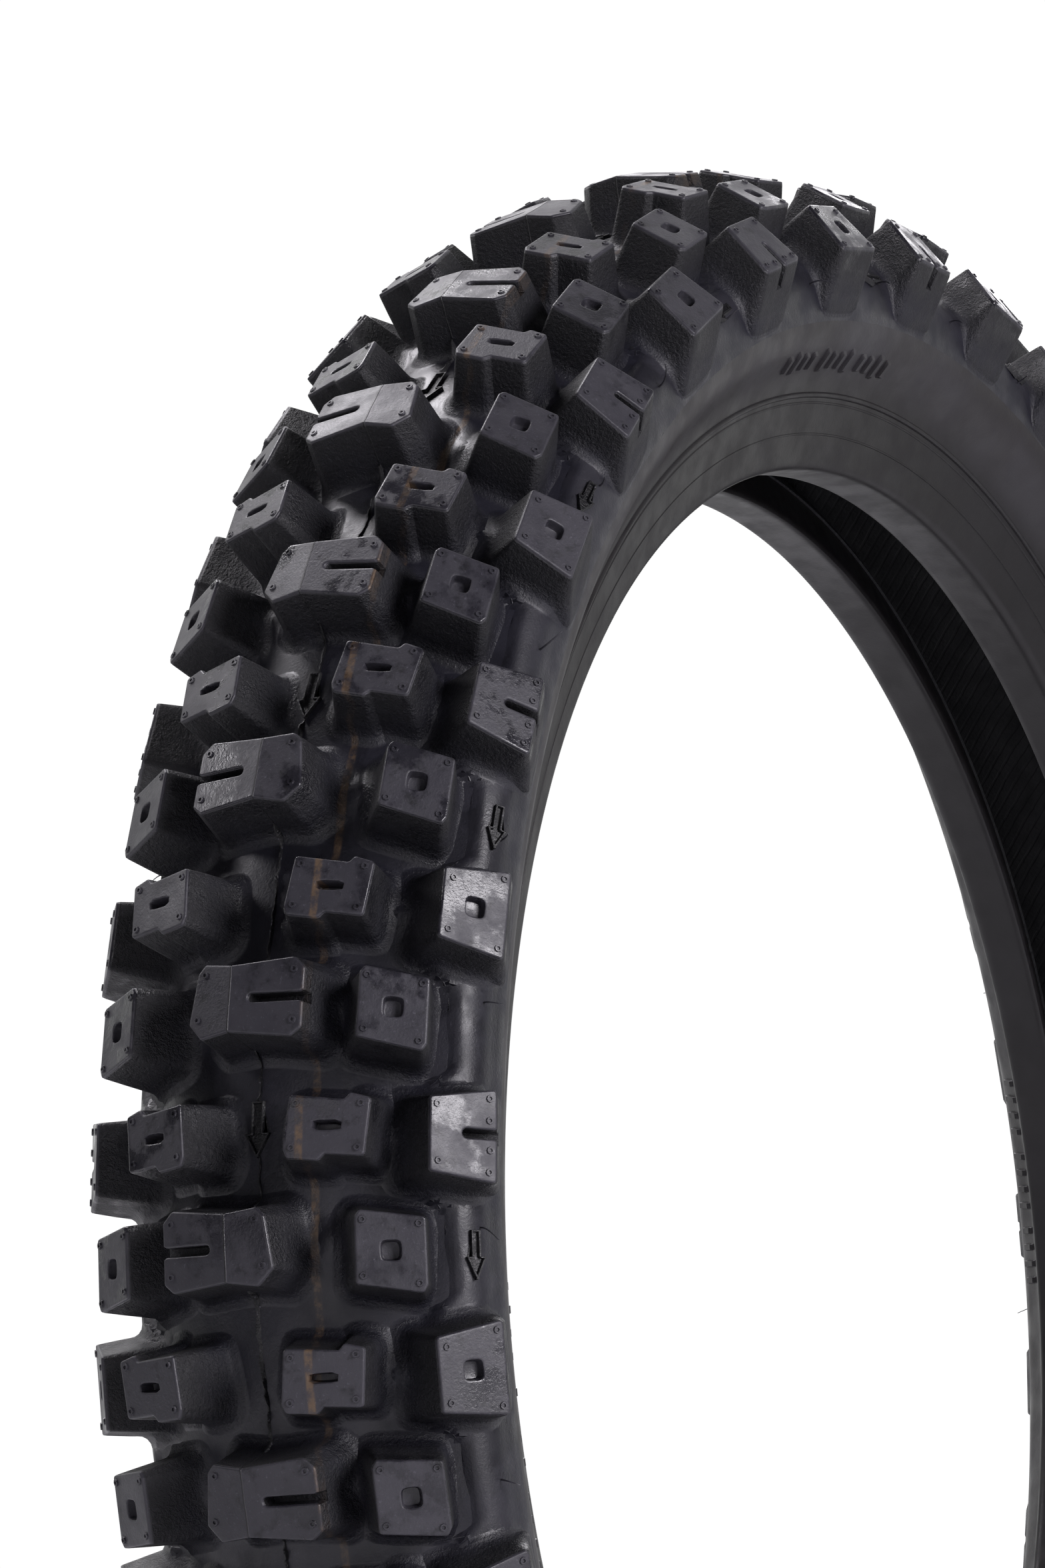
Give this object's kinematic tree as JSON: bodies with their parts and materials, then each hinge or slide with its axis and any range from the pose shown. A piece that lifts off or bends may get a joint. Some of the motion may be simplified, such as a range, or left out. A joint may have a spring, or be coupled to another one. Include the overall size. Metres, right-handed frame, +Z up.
{
  "type": "motorcycle tire",
  "caption": "Knobbly off-road motorcycle tire for a 19 inch rear rim: five rows of blocks on a plied casing with two wire beads.",
  "frame": {"origin": "centre of the wheel's axle, midway between the two beads", "axes": "+Y along the axle towards the tire's right side, +Z up, and +X from the axle to the front of the tread; the tire stands upright in the XZ plane"},
  "size_m": [0.6668, 0.1174, 0.668],
  "materials": {
    "tread": "satin",
    "sidewall": "satin",
    "bead_rubber": "satin",
    "liner": "matte",
    "cord": "matte",
    "bead_wire": "satin"
  },
  "bodies": {
    "root": {"inner_liner": "liner", "body_ply_inner": "cord", "body_ply_outer": "cord", "breaker_ply": "cord", "tread_floor": "tread", "bead_wire_right": "bead_wire", "bead_wire_left": "bead_wire", "bead_filler_right": "liner", "bead_filler_left": "liner", "chafer_right": "bead_rubber", "chafer_left": "bead_rubber", "sidewall_right": "sidewall", "sidewall_left": "sidewall", "middle_knobs_right": "tread", "middle_knobs_left": "tread", "inner_knobs_right": "tread", "inner_knobs_left": "tread", "outer_knobs_right": "tread", "outer_knobs_left": "tread", "shoulder_knobs_slotted_right": "tread", "shoulder_knobs_slotted_left": "tread", "shoulder_knobs_dimpled_right": "tread", "shoulder_knobs_dimpled_left": "tread"}
  },
  "joints": []
}
